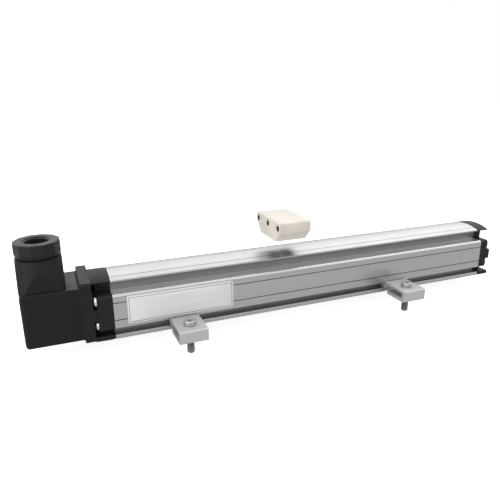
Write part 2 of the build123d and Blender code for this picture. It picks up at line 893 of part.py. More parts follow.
def make_clamp_screw(center_x, side):
    """Socket head screw: a plain shank inside its clamp and a round thread below it."""
    seat = clamp_top + seat_gap
    with BuildPart() as clamp_screw:
        with BuildSketch(Plane.XY.offset(seat)):
            with Locations((center_x, side * clamp_screw_y)):
                RegularPolygon(clamp_head_radius, 2 * screw_sides)
        extrude(amount=clamp_head_height)
        with BuildSketch(Plane.XY.offset(seat + clamp_head_height)):
            with Locations((center_x, side * clamp_screw_y)):
                RegularPolygon(hex_key_size / 2, 6, major_radius=False)
        extrude(amount=-hex_key_depth, mode=Mode.SUBTRACT)
        with BuildSketch(Plane.XY.offset(seat)):
            with Locations((center_x, side * clamp_screw_y)):
                RegularPolygon(clamp_screw_radius, screw_sides)
        extrude(amount=-seat)
        with BuildSketch(Plane.XY):
            with Locations((center_x, side * clamp_screw_y)):
                Circle(clamp_screw_radius)
        extrude(amount=seat - clamp_screw_length)
    return clamp_screw.part


def make_magnet_block():
    """Floating block: bevelled below, bored along X, with two pockets in its underside."""
    holes = [(shift * magnet_hole_pitch, magnet_hole_z) for shift in (-1, 0, 1)]
    with BuildPart() as magnet_block:
        with BuildSketch(Plane.YZ.offset(magnet_x - magnet_length / 2)) as magnet_outline:
            with Locations((0, magnet_underside + magnet_height / 2)):
                body = Rectangle(2 * magnet_half, magnet_height)
            chamfer(body.vertices().group_by(Axis.Y)[0], magnet_chamfer)
            outline = magnet_outline.vertices()
            fillet(outline.group_by(Axis.Y)[-1], magnet_top_radius)
            fillet(outline.group_by(Axis.Y)[1], magnet_edge)
        extrude(amount=magnet_length)
        ends = magnet_block.faces().filter_by(Axis.X)
        chamfer(ends.edges(), magnet_edge)
        with BuildSketch(Plane.YZ.offset(magnet_x - magnet_length / 2)):
            with Locations(*holes):
                Circle(magnet_hole_radius)
        extrude(amount=magnet_length, mode=Mode.SUBTRACT)
        with BuildSketch(Plane.XY.offset(magnet_underside)):
            with Locations((magnet_x, 0)):
                with GridLocations(bar_pitch, 0, 2, 1):
                    Rectangle(bar_width + 2 * thread_gap, 2 * (bar_half + thread_gap))
        extrude(amount=bar_height + fit_gap, mode=Mode.SUBTRACT)
    return magnet_block.part


def make_magnet_bars():
    with BuildPart() as magnet_bars:
        with BuildSketch(Plane.XY.offset(magnet_underside + fit_gap)):
            with Locations((magnet_x, 0)):
                with GridLocations(bar_pitch, 0, 2, 1):
                    Rectangle(bar_width, 2 * bar_half)
        extrude(amount=bar_height - fit_gap)
    return magnet_bars.part


os.makedirs("parts", exist_ok=True)

save(make_profile(), "profile_housing")
save(make_gasket(near_end, -1), "near_cap_gasket")
save(make_gasket(far_end, 1), "far_cap_gasket")
save(make_cap(near_end, near_web, near_cap_recess, True), "near_end_cap")
save(make_cap(far_end, far_web, far_cap_recess, False), "far_end_cap")
for end_name, seat, outward in (("near", near_web, -1), ("far", far_web, 1)):
    cap_screws = make_pan_screws(
        seat, outward, ports, cap_screw_radius, pan_head_radius, cap_screw_length
    )
    save(cap_screws, f"{end_name}_cap_screws")
save(make_rating_plate(), "rating_plate")

save(make_rail(), "waveguide_rail")
save(make_sleeve(), "waveguide_sleeve")
save(make_wire(), "waveguide_wire")
save(make_damper(), "wave_damper")
save(make_pickup_housing(), "pickup_housing")
save(make_coil(), "pickup_coil")
save(make_bias_bar(), "bias_magnet")
save(make_board(), "circuit_board")
save(make_components(), "board_components")
save(make_leads(), "hookup_leads")

base_screw_seat = near_end - gasket_thickness - pan_head_height
base_screws = make_pan_screws(
    base_screw_seat,
    1,
    base_screw_places,
    base_screw_radius,
    base_screw_head_radius,
    base_screw_length,
)
save(make_base(), "connector_base")
save(make_base_seal(), "base_seal")
save(make_bush(), "thread_bush")
save(base_screws, "base_screws")
save(make_blades(contacts[:3]), "contact_blades")
save(make_blades(contacts[3:]), "earth_blade")

save(make_plug_housing(), "plug_housing")
save(make_insert(), "plug_insert")
save(make_terminals(), "terminal_clamps")
save(make_terminal_screws(), "terminal_screws")
save(make_plug_seal(), "plug_seal")
save(make_screw_seal(), "screw_seal")
save(make_plug_screw(), "plug_screw")
save(make_gland_seal(), "gland_seal")
save(make_gland_washer(), "gland_washer")
save(make_gland_nut(), "gland_nut")

for end_name, clamp_x in (("near", near_clamp_x), ("far", far_clamp_x)):
    for side_name, side in (("front", -1), ("rear", 1)):
        save(make_foot_clamp(clamp_x, side), f"{end_name}_{side_name}_clamp")
        save(make_clamp_screw(clamp_x, side), f"{end_name}_{side_name}_clamp_screw")

save(make_magnet_block(), "magnet_block")
save(make_magnet_bars(), "magnet_bars")
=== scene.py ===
import math

import bmesh
import bpy
import numpy as np
from bpy.props import FloatProperty, FloatVectorProperty, IntProperty, PointerProperty
from mathutils import Matrix, Vector


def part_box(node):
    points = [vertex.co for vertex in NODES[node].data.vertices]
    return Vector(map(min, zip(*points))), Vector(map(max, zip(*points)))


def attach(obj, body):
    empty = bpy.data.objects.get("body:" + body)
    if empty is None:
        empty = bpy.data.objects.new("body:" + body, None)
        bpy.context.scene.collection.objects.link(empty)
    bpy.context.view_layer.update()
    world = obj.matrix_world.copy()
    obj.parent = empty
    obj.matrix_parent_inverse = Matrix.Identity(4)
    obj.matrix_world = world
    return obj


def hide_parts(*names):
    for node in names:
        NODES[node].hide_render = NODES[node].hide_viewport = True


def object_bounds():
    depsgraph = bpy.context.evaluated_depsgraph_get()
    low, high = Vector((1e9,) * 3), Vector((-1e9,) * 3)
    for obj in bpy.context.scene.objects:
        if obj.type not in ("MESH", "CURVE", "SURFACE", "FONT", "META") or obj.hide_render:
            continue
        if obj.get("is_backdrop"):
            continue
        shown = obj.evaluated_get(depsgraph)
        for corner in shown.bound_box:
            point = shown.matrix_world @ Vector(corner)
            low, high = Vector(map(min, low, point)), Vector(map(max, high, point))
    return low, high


bl_info = {
    "name": "Magnetic linear scale",
    "version": (1, 0, 0),
    "blender": (4, 5, 0),
    "location": "3D View > Sidebar > Linear scale",
    "description": "Dresses a linear position sensor with its screws, nut, plate and finishes",
    "category": "Add Mesh",
}

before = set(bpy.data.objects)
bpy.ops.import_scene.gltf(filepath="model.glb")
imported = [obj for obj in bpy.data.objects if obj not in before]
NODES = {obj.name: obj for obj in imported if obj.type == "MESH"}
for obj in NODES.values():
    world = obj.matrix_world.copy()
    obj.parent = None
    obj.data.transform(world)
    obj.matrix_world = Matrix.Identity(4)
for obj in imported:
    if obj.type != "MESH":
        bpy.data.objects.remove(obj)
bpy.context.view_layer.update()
TURN = 2 * math.pi

# The magnet block's three holes: distance between their axes, height and radius.
HOLE_PITCH, HOLE_HEIGHT, HOLE_RADIUS = 0.0136, 0.0486, 0.00174

# Bands of painted shade and painted highlight: middle height, half the width, share of the
# colour that is taken away.
# Painted shade on the clamp screws' thread below the clamp.
CLAMP_THREAD_SHADE_BAND = (-0.0036, 0.0056, 0.6)
# Painted shade inside the clamp groove and the slider groove.
CLAMP_GROOVE_SHADE_BAND = (0.00415, 0.0018, 0.4)
SLIDER_GROOVE_SHADE_BAND = (0.02707, 0.00273, 0.65)
# Painted highlight along the ledge at the top of the wall.
LEDGE_HIGHLIGHT_BAND = (0.024245, 0.000085, -1.2)
# Painted shade in the two trim slots and along a fine line on the dome.
LOWER_TRIM_SHADE_BAND = (0.01056, 0.00025, 0.65)
UPPER_TRIM_SHADE_BAND = (0.02005, 0.00025, 0.65)
DOME_LINE_SHADE_BAND = (0.03163, 0.00007, 0.55)

# Part of a noise pattern's range that carries its contrast.
NOISE_LOW, NOISE_HIGH = 0.3, 0.7

# Shares by which a finish varies from place to place.
METAL_TINT, METAL_GLOSS_SPREAD = 0.04, 0.15
PLASTIC_TINT, PLASTIC_GLOSS_SPREAD = 0.10, 0.12
METAL_CLOUD_SCALE, PLASTIC_CLOUD_SCALE = 60.0, 70.0

# Sines of the height where the reflected sky is dark and where it is bright.
LOWER_SKY_SLOPE = (0.0, 0.3)
UPPER_SKY_SLOPE = (0.9, 0.55)

# Grip flutes round a clamp screw's head; their depth is a share of its radius.
HEAD_FLUTES, FLUTE_DEPTH = 24, 0.025

# The gland nut's sides, and the share of its corners' radius that is left by blunting.
NUT_SIDES, NUT_BLUNTING = 12, 0.995


class ScaleSizes(bpy.types.PropertyGroup):
    """Sizes of the pieces that are added to the solid model."""

    screw_slices: IntProperty(
        name="Screw slices", description="Steps round each screw", default=72, min=24
    )
    hidden_slices: IntProperty(
        name="Hidden slices", description="Steps round the cap screws' sunk threads",
        default=32, min=12,
    )
    thread_depth: FloatProperty(
        name="Thread depth", description="Depth of the screws' thread",
        default=0.00032, unit="LENGTH",
    )
    clamp_pitch: FloatProperty(
        name="Clamp screw pitch", description="Pitch of the clamp screws' thread",
        default=0.0007, unit="LENGTH",
    )
    cap_pitch: FloatProperty(
        name="Cap screw pitch", description="Pitch of the cap screws' thread",
        default=0.0005, unit="LENGTH",
    )
    socket_width: FloatProperty(
        name="Socket width", description="Width across the flats of the hexagon socket",
        default=0.0025, unit="LENGTH",
    )
    clamp_shank: FloatProperty(
        name="Clamp screw radius", description="Radius of the clamp screws' shank",
        default=0.002, unit="LENGTH",
    )
    seat_gap: FloatProperty(
        name="Seat gap", description="Gap between a clamp and its screw's head",
        default=0.00005, unit="LENGTH",
    )
    cap_head: FloatProperty(
        name="Cap screw head", description="Radius of the cap screws' head",
        default=0.0027, unit="LENGTH",
    )
    cap_head_height: FloatProperty(
        name="Cap screw head height", description="Height of the cap screws' head",
        default=0.00185, unit="LENGTH",
    )
    cap_shank: FloatProperty(
        name="Cap screw radius", description="Radius of the cap screws' shank",
        default=0.00146, unit="LENGTH",
    )
    nut_hole: FloatProperty(
        name="Nut hole", description="Radius of the gland nut's cable hole",
        default=0.0057, unit="LENGTH",
    )
    nut_thread: FloatProperty(
        name="Nut thread", description="Radius of the gland nut's thread",
        default=0.0093, unit="LENGTH",
    )
    nut_collar: FloatProperty(
        name="Nut collar", description="Radius of the collar under the nut's head",
        default=0.0100, unit="LENGTH",
    )
    nut_mouth: FloatProperty(
        name="Nut mouth", description="Width and depth of the cone at the nut's hole",
        default=0.0010, unit="LENGTH",
    )
    nut_head_height: FloatProperty(
        name="Nut head height", description="Height of the gland nut's head",
        default=0.0059, unit="LENGTH",
    )
    nut_collar_height: FloatProperty(
        name="Nut collar height", description="Height of the collar under the nut's head",
        default=0.0018, unit="LENGTH",
    )
    recess_reach: FloatProperty(
        name="Cross reach", description="Reach of the cross recess from the screw's axis",
        default=0.00155, unit="LENGTH",
    )
    recess_width: FloatProperty(
        name="Cross width", description="Width of each slot of the cross recess",
        default=0.0007, unit="LENGTH",
    )
    edge_round: FloatProperty(
        name="Edge rounding", description="Rounding of moulded outer edges",
        default=0.0006, unit="LENGTH",
    )
    plate_corner: FloatProperty(
        name="Plate corner", description="Corner radius of the rating plate",
        default=0.0008, unit="LENGTH",
    )
    border_inset: FloatProperty(
        name="Border inset", description="Distance of the printed border from the plate's edge",
        default=0.0009, unit="LENGTH",
    )
    border_half_width: FloatProperty(
        name="Border half width", description="Half the width of the printed border's line",
        default=0.00012, unit="LENGTH",
    )


class ScaleColours(bpy.types.PropertyGroup):
    """Colours of the finishes that show."""

    aluminium: FloatVectorProperty(
        name="Aluminium", description="Anodised profile", subtype="COLOR",
        default=(0.42, 0.42, 0.425),
    )
    cap_black: FloatVectorProperty(
        name="Cap black", description="Moulded end caps and connector flange",
        subtype="COLOR", default=(0.015, 0.015, 0.016),
    )
    plug_black: FloatVectorProperty(
        name="Plug black", description="Moulded plug housing", subtype="COLOR",
        default=(0.011, 0.011, 0.011),
    )
    nut_grey: FloatVectorProperty(
        name="Nut grey", description="Gland nut", subtype="COLOR", default=(0.018, 0.018, 0.019)
    )
    magnet_cream: FloatVectorProperty(
        name="Magnet cream", description="Moulded magnet block", subtype="COLOR",
        default=(0.76, 0.71, 0.635),
    )
    plate_silver: FloatVectorProperty(
        name="Plate silver", description="Rating plate's film", subtype="COLOR",
        default=(0.80, 0.80, 0.80),
    )
    border_grey: FloatVectorProperty(
        name="Border grey", description="Printed border of the rating plate", subtype="COLOR",
        default=(0.12, 0.12, 0.12),
    )
    clamp_silver: FloatVectorProperty(
        name="Clamp silver", description="Foot clamps", subtype="COLOR",
        default=(0.50, 0.50, 0.495),
    )


class ScaleStage(bpy.types.PropertyGroup):
    """Camera, floor and lamps."""

    camera_place: FloatVectorProperty(
        name="Camera place", description="Camera's position", subtype="TRANSLATION",
        unit="LENGTH", default=(-0.14574, -0.26569, 0.12639),
    )
    camera_yaw: FloatProperty(
        name="Camera yaw", description="Turn of the view from +Y towards +X",
        subtype="ANGLE", default=0.3806,
    )
    camera_pitch: FloatProperty(
        name="Camera pitch", description="How far the view looks down", subtype="ANGLE",
        default=0.3138,
    )
    camera_roll: FloatProperty(
        name="Camera roll", description="Roll of the view", subtype="ANGLE", default=-0.0068
    )
    camera_lens: FloatProperty(
        name="Camera lens", description="Focal length in millimetres", default=37.36
    )
    camera_sensor: FloatProperty(
        name="Camera sensor", description="Width of the sensor in millimetres", default=36.0
    )
    key_power: FloatProperty(
        name="Key power", description="Power of the softbox overhead", default=16.5, unit="POWER"
    )
    fill_power: FloatProperty(
        name="Fill power", description="Power of the softbox in front", default=2.8,
        unit="POWER",
    )
    ambient: FloatProperty(
        name="Ambient", description="Strength of the even light from all round", default=0.31
    )
    sky: FloatProperty(
        name="Sky", description="Brightness of the band of sky in reflections", default=1.8
    )
    floor_grey: FloatProperty(
        name="Floor grey", description="Brightness of the floor's own colour", default=0.80
    )
    floor_lift: FloatProperty(
        name="Floor lift", description="Glow that brings the seen floor to white", default=0.85
    )


def mesh_piece(name, sheets, smooth_angle=0.6):
    """Joins grids of points (rows x columns x 3) into one mesh with outward faces."""
    points = []
    faces = []
    start = 0
    for sheet in sheets:
        rows, columns = sheet.shape[:2]
        index = np.arange(rows * columns).reshape(rows, columns) + start
        ahead = np.roll(index, -1, axis=1)
        quads = np.stack([index[:-1], ahead[:-1], ahead[1:], index[1:]], axis=-1)
        faces.append(quads.reshape(-1, 4))
        points.append(sheet.reshape(-1, 3))
        start += rows * columns
    mesh = bpy.data.meshes.new(name)
    mesh.from_pydata(np.concatenate(points), [], np.concatenate(faces).tolist())
    shape = bmesh.new()
    shape.from_mesh(mesh)
    bmesh.ops.remove_doubles(shape, verts=shape.verts, dist=1e-7)
    bmesh.ops.recalc_face_normals(shape, faces=shape.faces)
    shape.to_mesh(mesh)
    shape.free()
    mesh.shade_smooth()
    mesh.set_sharp_from_angle(angle=smooth_angle)
    piece = bpy.data.objects.new(name, mesh)
    bpy.context.scene.collection.objects.link(piece)
    return piece


def turn_steps(slices):
    """Angles of a full turn in equal steps, without the last, which is the first again."""
    return np.arange(slices) * TURN / slices


def turned_sheet(stations, slices):
    """Surface round the Z axis. Each station is a height and a radius; the radius is a number
    or an array over the angle, so a ring can be a circle, a hexagon or a fluted edge."""
    angle = turn_steps(slices)
    rings = []
    for height, radius in stations:
        reach = np.broadcast_to(radius, angle.shape)
        level = np.full_like(angle, height)
        rings.append(np.stack([reach * np.cos(angle), reach * np.sin(angle), level], axis=-1))
    return np.stack(rings)


def polygon_radius(slices, sides, half_width):
    """Radius of a regular polygon over the angle: half its width, divided by the cosine of
    the angle from the nearest flat's middle."""
    step = TURN / sides
    from_flat = (turn_steps(slices) + step / 2) % step - step / 2
    return half_width / np.cos(from_flat)


def thread_sheet(top, bottom, radius, pitch, depth, slices, steps=8):
    """Threaded cylinder: the radius falls and rises once per pitch as a triangle wave of
    height, and the wave is shifted by the angle, so the crest winds round as one helix."""
    angle = turn_steps(slices)
    count = int(round((top - bottom) / pitch * steps)) + 1
    height = np.linspace(top, bottom, count)[:, None]
    phase = (height / pitch - angle / TURN) % 1
    wave = np.abs(2 * phase - 1)
    run_out = np.clip((top - height) / pitch, 0, 1) * np.clip((height - bottom) / pitch, 0, 1)
    reach = radius - depth * wave * run_out
    level = np.broadcast_to(height, reach.shape)
    return np.stack([reach * np.cos(angle), reach * np.sin(angle), level], axis=-1)


def round_edge(height, radius, size, outward, steps=5):
    """Quarter round between a wall and a face: (height, radius) pairs along a circle's arc
    of the given size, from the wall to the face."""
    turn = np.linspace(0, math.pi / 2, steps)
    heights = height - outward * size * (1 - np.sin(turn))
    reaches = radius - size * (1 - np.cos(turn))
    return list(zip(heights, reaches))


def aimed(sheet, place, direction):
    """Turns a sheet's +Z to the direction and moves its origin to the place."""
    turn = np.array(Vector(direction).to_track_quat("Z", "Y").to_matrix())
    return sheet @ turn.T + np.asarray(place)


def material_tree(name):
    material = bpy.data.materials.new(name)
    material.use_nodes = True
    tree = material.node_tree
    return material, tree, tree.nodes["Principled BSDF"]


def object_pattern(tree, scale, stretch=(1, 1, 1), detail=3.0):
    """Noise in object coordinates; a larger stretch of an axis makes it finer along that."""
    place = tree.nodes.new("ShaderNodeTexCoord")
    mapping = tree.nodes.new("ShaderNodeMapping")
    mapping.inputs["Scale"].default_value = stretch
    noise = tree.nodes.new("ShaderNodeTexNoise")
    noise.inputs["Scale"].default_value = scale
    noise.inputs["Detail"].default_value = detail
    tree.links.new(place.outputs["Object"], mapping.inputs["Vector"])
    tree.links.new(mapping.outputs["Vector"], noise.inputs["Vector"])
    return noise.outputs["Fac"]


def spread(tree, source, low, high):
    """Maps a pattern to the numbers from low to high."""
    return ramped(tree, source, (NOISE_LOW, NOISE_HIGH), (low, high))


def ramped(tree, source, span, ends):
    """Straight ramp over a span of the source, level outside it."""
    slope = tree.nodes.new("ShaderNodeMapRange")
    limits = ("From Min", "From Max", "To Min", "To Max")
    for name, value in zip(limits, (*span, *ends)):
        slope.inputs[name].default_value = value
    tree.links.new(source, slope.inputs["Value"])
    return slope.outputs["Result"]


def tint(tree, source, colour, share):
    """Colour that runs from a little darker to a little lighter over the pattern."""
    ramp = tree.nodes.new("ShaderNodeValToRGB")
    darker, lighter = ramp.color_ramp.elements
    darker.color = (*(value * (1 - share) for value in colour), 1)
    lighter.color = (*(min(value * (1 + share), 1) for value in colour), 1)
    darker.position, lighter.position = NOISE_LOW, NOISE_HIGH
    tree.links.new(source, ramp.inputs["Fac"])
    return ramp.outputs["Color"]


def raise_grain(tree, shader, source, depth):
    """Fine relief of the given depth that follows the pattern."""
    bump = tree.nodes.new("ShaderNodeBump")
    bump.inputs["Distance"].default_value = depth
    tree.links.new(source, bump.inputs["Height"])
    tree.links.new(bump.outputs["Normal"], shader.inputs["Normal"])


def vary_gloss(tree, shader, cloud, roughness, share):
    """Lets the roughness drift by a share of itself."""
    drift = spread(tree, cloud, roughness * (1 - share), roughness * (1 + share))
    tree.links.new(drift, shader.inputs["Roughness"])


def metal(name, colour, roughness, stretch, depth, metallic=1.0):
    """Metal with fine drawn lines along the axis that is stretched least."""
    material, tree, shader = material_tree(name)
    lines = object_pattern(tree, 1.0, stretch, detail=4.0)
    cloud = object_pattern(tree, METAL_CLOUD_SCALE)
    shader.inputs["Metallic"].default_value = metallic
    tree.links.new(tint(tree, lines, colour, METAL_TINT), shader.inputs["Base Color"])
    vary_gloss(tree, shader, cloud, roughness, METAL_GLOSS_SPREAD)
    raise_grain(tree, shader, lines, depth)
    return material


def plastic(name, colour, roughness, grain, depth, specular=0.5):
    """Moulded plastic with a fine spark eroded grain and slightly uneven gloss."""
    material, tree, shader = material_tree(name)
    pits = object_pattern(tree, grain, detail=2.0)
    cloud = object_pattern(tree, PLASTIC_CLOUD_SCALE)
    shader.inputs["Specular IOR Level"].default_value = specular
    tree.links.new(tint(tree, cloud, colour, PLASTIC_TINT), shader.inputs["Base Color"])
    vary_gloss(tree, shader, cloud, roughness, PLASTIC_GLOSS_SPREAD)
    raise_grain(tree, shader, pits, depth)
    return material


def object_axes(tree):
    """The piece's own X, Y and Z as three outputs."""
    place = tree.nodes.new("ShaderNodeTexCoord")
    axes = tree.nodes.new("ShaderNodeSeparateXYZ")
    tree.links.new(place.outputs["Object"], axes.inputs["Vector"])
    return axes.outputs


def near_value(tree, source, middle, half):
    """1 where the source is no more than half away from the middle, 0 elsewhere."""
    step = joined(tree, "COMPARE", source, middle)
    step.node.inputs[2].default_value = half
    return step


def shade_bands(material, *bands):
    """Paints shade into a finish's colour at some heights. A band is its middle, half its width
    and the share of the colour that it takes away; a share below 0 lightens it as a painted
    highlight."""
    tree = material.node_tree
    height = object_axes(tree)["Z"]
    taken = 0
    for middle, half, share in bands:
        inside = near_value(tree, height, middle, half)
        taken = joined(tree, "ADD", joined(tree, "MULTIPLY", inside, share), taken)
    darken(tree, taken, 1)


def darken(tree, inside, share):
    """Takes a share of the base colour away where inside is 1."""
    base = tree.nodes["Principled BSDF"].inputs["Base Color"]
    kept = joined(tree, "SUBTRACT", 1, joined(tree, "MULTIPLY", inside, share))
    scaled = tree.nodes.new("ShaderNodeVectorMath")
    scaled.operation = "SCALE"
    tree.links.new(base.links[0].from_socket, scaled.inputs["Vector"])
    tree.links.new(kept, scaled.inputs["Scale"])
    tree.links.new(scaled.outputs["Vector"], base)


def anodised_aluminium(colours):
    """Satin anodised profile with painted shade inside its grooves, its trim slots and along a
    fine line on the dome, and a painted highlight on the ledge.
    """
    material = metal(
        "anodised_aluminium", colours.aluminium,
        roughness=0.34, stretch=(9, 2600, 2600), depth=0.00001, metallic=0.9,
    )
    # Painted shade in the grooves, the trim slots and the dome line, and a painted highlight on
    # the ledge.
    shade_bands(
        material, CLAMP_GROOVE_SHADE_BAND, SLIDER_GROOVE_SHADE_BAND, LEDGE_HIGHLIGHT_BAND,
        LOWER_TRIM_SHADE_BAND, UPPER_TRIM_SHADE_BAND, DOME_LINE_SHADE_BAND,
    )
    return material


def clamp_metal(colours):
    return metal(
        "blasted_clamp_metal", colours.clamp_silver,
        roughness=0.5, stretch=(900, 900, 900), depth=0.00002, metallic=0.6,
    )


def clamp_screw_zinc():
    """Bright head, with painted shade on the thread below the clamp."""
    material = metal(
        "clamp_screw_zinc", (0.42, 0.42, 0.43),
        roughness=0.36, stretch=(700, 700, 700), depth=0.00001,
    )
    # Painted shade on the thread under the clamp.
    shade_bands(material, CLAMP_THREAD_SHADE_BAND)
    return material


def zinc_plate():
    return metal(
        "bright_zinc_plate", (0.62, 0.63, 0.65),
        roughness=0.24, stretch=(700, 700, 700), depth=0.00001,
    )


def tinned_brass():
    return metal(
        "tinned_brass", (0.66, 0.60, 0.44),
        roughness=0.3, stretch=(40, 900, 900), depth=0.00001,
    )


def drawn_wire():
    return metal(
        "drawn_wire", (0.50, 0.49, 0.46),
        roughness=0.3, stretch=(20, 3000, 3000), depth=0.00001,
    )


def cap_plastic(colours):
    return plastic(
        "cap_plastic", colours.cap_black,
        roughness=0.5, grain=2600.0, depth=0.00003, specular=0.15,
    )


def plug_plastic(colours):
    return plastic(
        "plug_plastic", colours.plug_black,
        roughness=0.42, grain=2200.0, depth=0.00003, specular=0.16,
    )


def nut_plastic(colours):
    return plastic(
        "nut_plastic", colours.nut_grey,
        roughness=0.4, grain=1800.0, depth=0.00002, specular=0.17,
    )


def insert_plastic():
    return plastic(
        "insert_plastic", (0.05, 0.05, 0.052),
        roughness=0.5, grain=2200.0, depth=0.00003,
    )


def seal_rubber():
    return plastic(
        "seal_rubber", (0.016, 0.016, 0.016),
        roughness=0.75, grain=3200.0, depth=0.00005, specular=0.3,
    )


def magnet_plastic(colours):
    """Pale moulding with painted shade inside its three holes: a point is inside one where it
    lies less than the hole's radius from the nearest of the three axes."""
    material = plastic(
        "magnet_plastic", colours.magnet_cream,
        roughness=0.55, grain=2400.0, depth=0.00003, specular=0.4,
    )
    tree = material.node_tree
    axes = object_axes(tree)
    aside = joined(tree, "ABSOLUTE", axes["Y"], 0)
    from_outer = joined(tree, "ABSOLUTE", joined(tree, "SUBTRACT", aside, HOLE_PITCH), 0)
    across = joined(tree, "MINIMUM", aside, from_outer)
    above = joined(tree, "SUBTRACT", axes["Z"], HOLE_HEIGHT)
    squares = [joined(tree, "MULTIPLY", value, value) for value in (across, above)]
    away = joined(tree, "SQRT", joined(tree, "ADD", *squares), 0)
    # Painted shade inside the three holes.
    darken(tree, near_value(tree, away, 0, HOLE_RADIUS), share=0.85)
    return material


def rail_plastic():
    return plastic(
        "rail_plastic", (0.74, 0.74, 0.71),
        roughness=0.5, grain=2000.0, depth=0.00002,
    )


def ferrite():
    return plastic(
        "pressed_ferrite", (0.035, 0.035, 0.037),
        roughness=0.6, grain=5200.0, depth=0.00006,
    )


def damper_rubber():
    return plastic(
        "damper_rubber", (0.10, 0.10, 0.105),
        roughness=0.85, grain=1500.0, depth=0.00010, specular=0.2,
    )


def component_black():
    return plastic(
        "component_black", (0.02, 0.02, 0.02),
        roughness=0.45, grain=4000.0, depth=0.00003,
    )


def lead_insulation():
    return plastic(
        "lead_insulation", (0.30, 0.03, 0.025),
        roughness=0.35, grain=1200.0, depth=0.00001,
    )


def board_mask():
    """Green solder mask with faint tracks that run along the board."""
    material, tree, shader = material_tree("board_mask")
    tracks = object_pattern(tree, 1.0, (60, 900, 10), detail=1.0)
    green = tint(tree, tracks, colour=(0.015, 0.13, 0.05), share=0.4)
    tree.links.new(green, shader.inputs["Base Color"])
    shader.inputs["Roughness"].default_value = 0.3
    raise_grain(tree, shader, tracks, depth=0.00003)
    return material


def coil_winding():
    """Copper wire wound in rings along X."""
    material, tree, shader = material_tree("coil_winding")
    place = tree.nodes.new("ShaderNodeTexCoord")
    rings = tree.nodes.new("ShaderNodeTexWave")
    rings.inputs["Scale"].default_value = 900.0
    tree.links.new(place.outputs["Object"], rings.inputs["Vector"])
    shader.inputs["Metallic"].default_value = 1.0
    shader.inputs["Roughness"].default_value = 0.3
    copper = tint(tree, rings.outputs["Fac"], colour=(0.60, 0.26, 0.12), share=0.25)
    tree.links.new(copper, shader.inputs["Base Color"])
    raise_grain(tree, shader, rings.outputs["Fac"], depth=0.00008)
    return material


def joined(tree, operation, first, second):
    """One step of arithmetic; each side is a socket or a number."""
    step = tree.nodes.new("ShaderNodeMath")
    step.operation = operation
    for socket, value in zip(step.inputs, (first, second)):
        if isinstance(value, bpy.types.NodeSocket):
            tree.links.new(value, socket)
        else:
            socket.default_value = value
    return step.outputs["Value"]


def plate_film(colours, sizes):
    """Silver film, bare inside a fine printed border that follows the plate's edge."""
    material, tree, shader = material_tree("plate_film")
    low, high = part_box("rating_plate")
    axes = object_axes(tree)
    inside = []
    for axis in ("X", "Z"):
        number = "XYZ".index(axis)
        middle = (low[number] + high[number]) / 2
        reach = (high[number] - low[number]) / 2
        away = joined(tree, "ABSOLUTE", joined(tree, "SUBTRACT", axes[axis], middle), 0)
        inside.append(joined(tree, "SUBTRACT", reach, away))
    edge = joined(tree, "MINIMUM", *inside)
    line = near_value(tree, edge, sizes.border_inset, sizes.border_half_width)
    paint = tree.nodes.new("ShaderNodeMix")
    paint.data_type = "RGBA"
    grain = object_pattern(tree, 1.0, (40, 400, 2600))
    tree.links.new(line, paint.inputs["Factor"])
    tree.links.new(tint(tree, grain, colours.plate_silver, METAL_TINT), paint.inputs["A"])
    paint.inputs["B"].default_value = (*colours.border_grey, 1)
    tree.links.new(paint.outputs["Result"], shader.inputs["Base Color"])
    shader.inputs["Metallic"].default_value = 0.1
    tree.links.new(spread(tree, grain, low=0.38, high=0.5), shader.inputs["Roughness"])
    raise_grain(tree, shader, grain, depth=0.00001)
    return material


def dress(material, *names):
    """Gives CAD nodes a finish."""
    for name in names:
        mesh = NODES[name].data
        mesh.materials.clear()
        mesh.materials.append(material)


def settle(piece, material, slot, body, *nodes):
    """Finishes a new piece: its material, its body and the nodes it stands for. The slot is not
    used.
    """
    piece.data.materials.append(material)
    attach(piece, body)
    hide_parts(*nodes)


class LINEARSCALE_OT_profile(bpy.types.Operator):
    """Finishes the profile, its end caps, gaskets and connector base"""

    bl_idname = "linear_scale.profile"
    bl_label = "Profile and caps"

    def execute(self, context):
        colours = context.scene.linear_scale_colours
        dress(anodised_aluminium(colours), "profile_housing")
        dress(cap_plastic(colours), "near_end_cap", "far_end_cap", "connector_base")
        dress(seal_rubber(), "near_cap_gasket", "far_cap_gasket", "base_seal")
        return {"FINISHED"}


class LINEARSCALE_OT_plug(bpy.types.Operator):
    """Finishes the plug, its insert, contacts, seals and centre screw"""

    bl_idname = "linear_scale.plug"
    bl_label = "Angle plug"

    def execute(self, context):
        dress(plug_plastic(context.scene.linear_scale_colours), "plug_housing")
        dress(insert_plastic(), "plug_insert")
        dress(seal_rubber(), "plug_seal", "screw_seal", "gland_seal")
        dress(rail_plastic(), "gland_washer")
        dress(tinned_brass(), "contact_blades", "earth_blade", "terminal_clamps", "thread_bush")
        dress(zinc_plate(), "plug_screw", "terminal_screws", "base_screws")
        return {"FINISHED"}


class LINEARSCALE_OT_measuring_parts(bpy.types.Operator):
    """Finishes the measuring wire, pickup, circuit board and leads inside the profile"""

    bl_idname = "linear_scale.measuring_parts"
    bl_label = "Measuring parts"

    def execute(self, context):
        dress(rail_plastic(), "waveguide_rail", "waveguide_sleeve", "pickup_housing")
        dress(drawn_wire(), "waveguide_wire")
        dress(damper_rubber(), "wave_damper")
        dress(coil_winding(), "pickup_coil")
        dress(ferrite(), "bias_magnet")
        dress(board_mask(), "circuit_board")
        dress(component_black(), "board_components")
        dress(lead_insulation(), "hookup_leads")
        return {"FINISHED"}


class LINEARSCALE_OT_magnet(bpy.types.Operator):
    """Finishes the floating magnet block and its two bar magnets"""

    bl_idname = "linear_scale.magnet"
    bl_label = "Magnet block"

    def execute(self, context):
        dress(magnet_plastic(context.scene.linear_scale_colours), "magnet_block")
        dress(ferrite(), "magnet_bars")
        return {"FINISHED"}


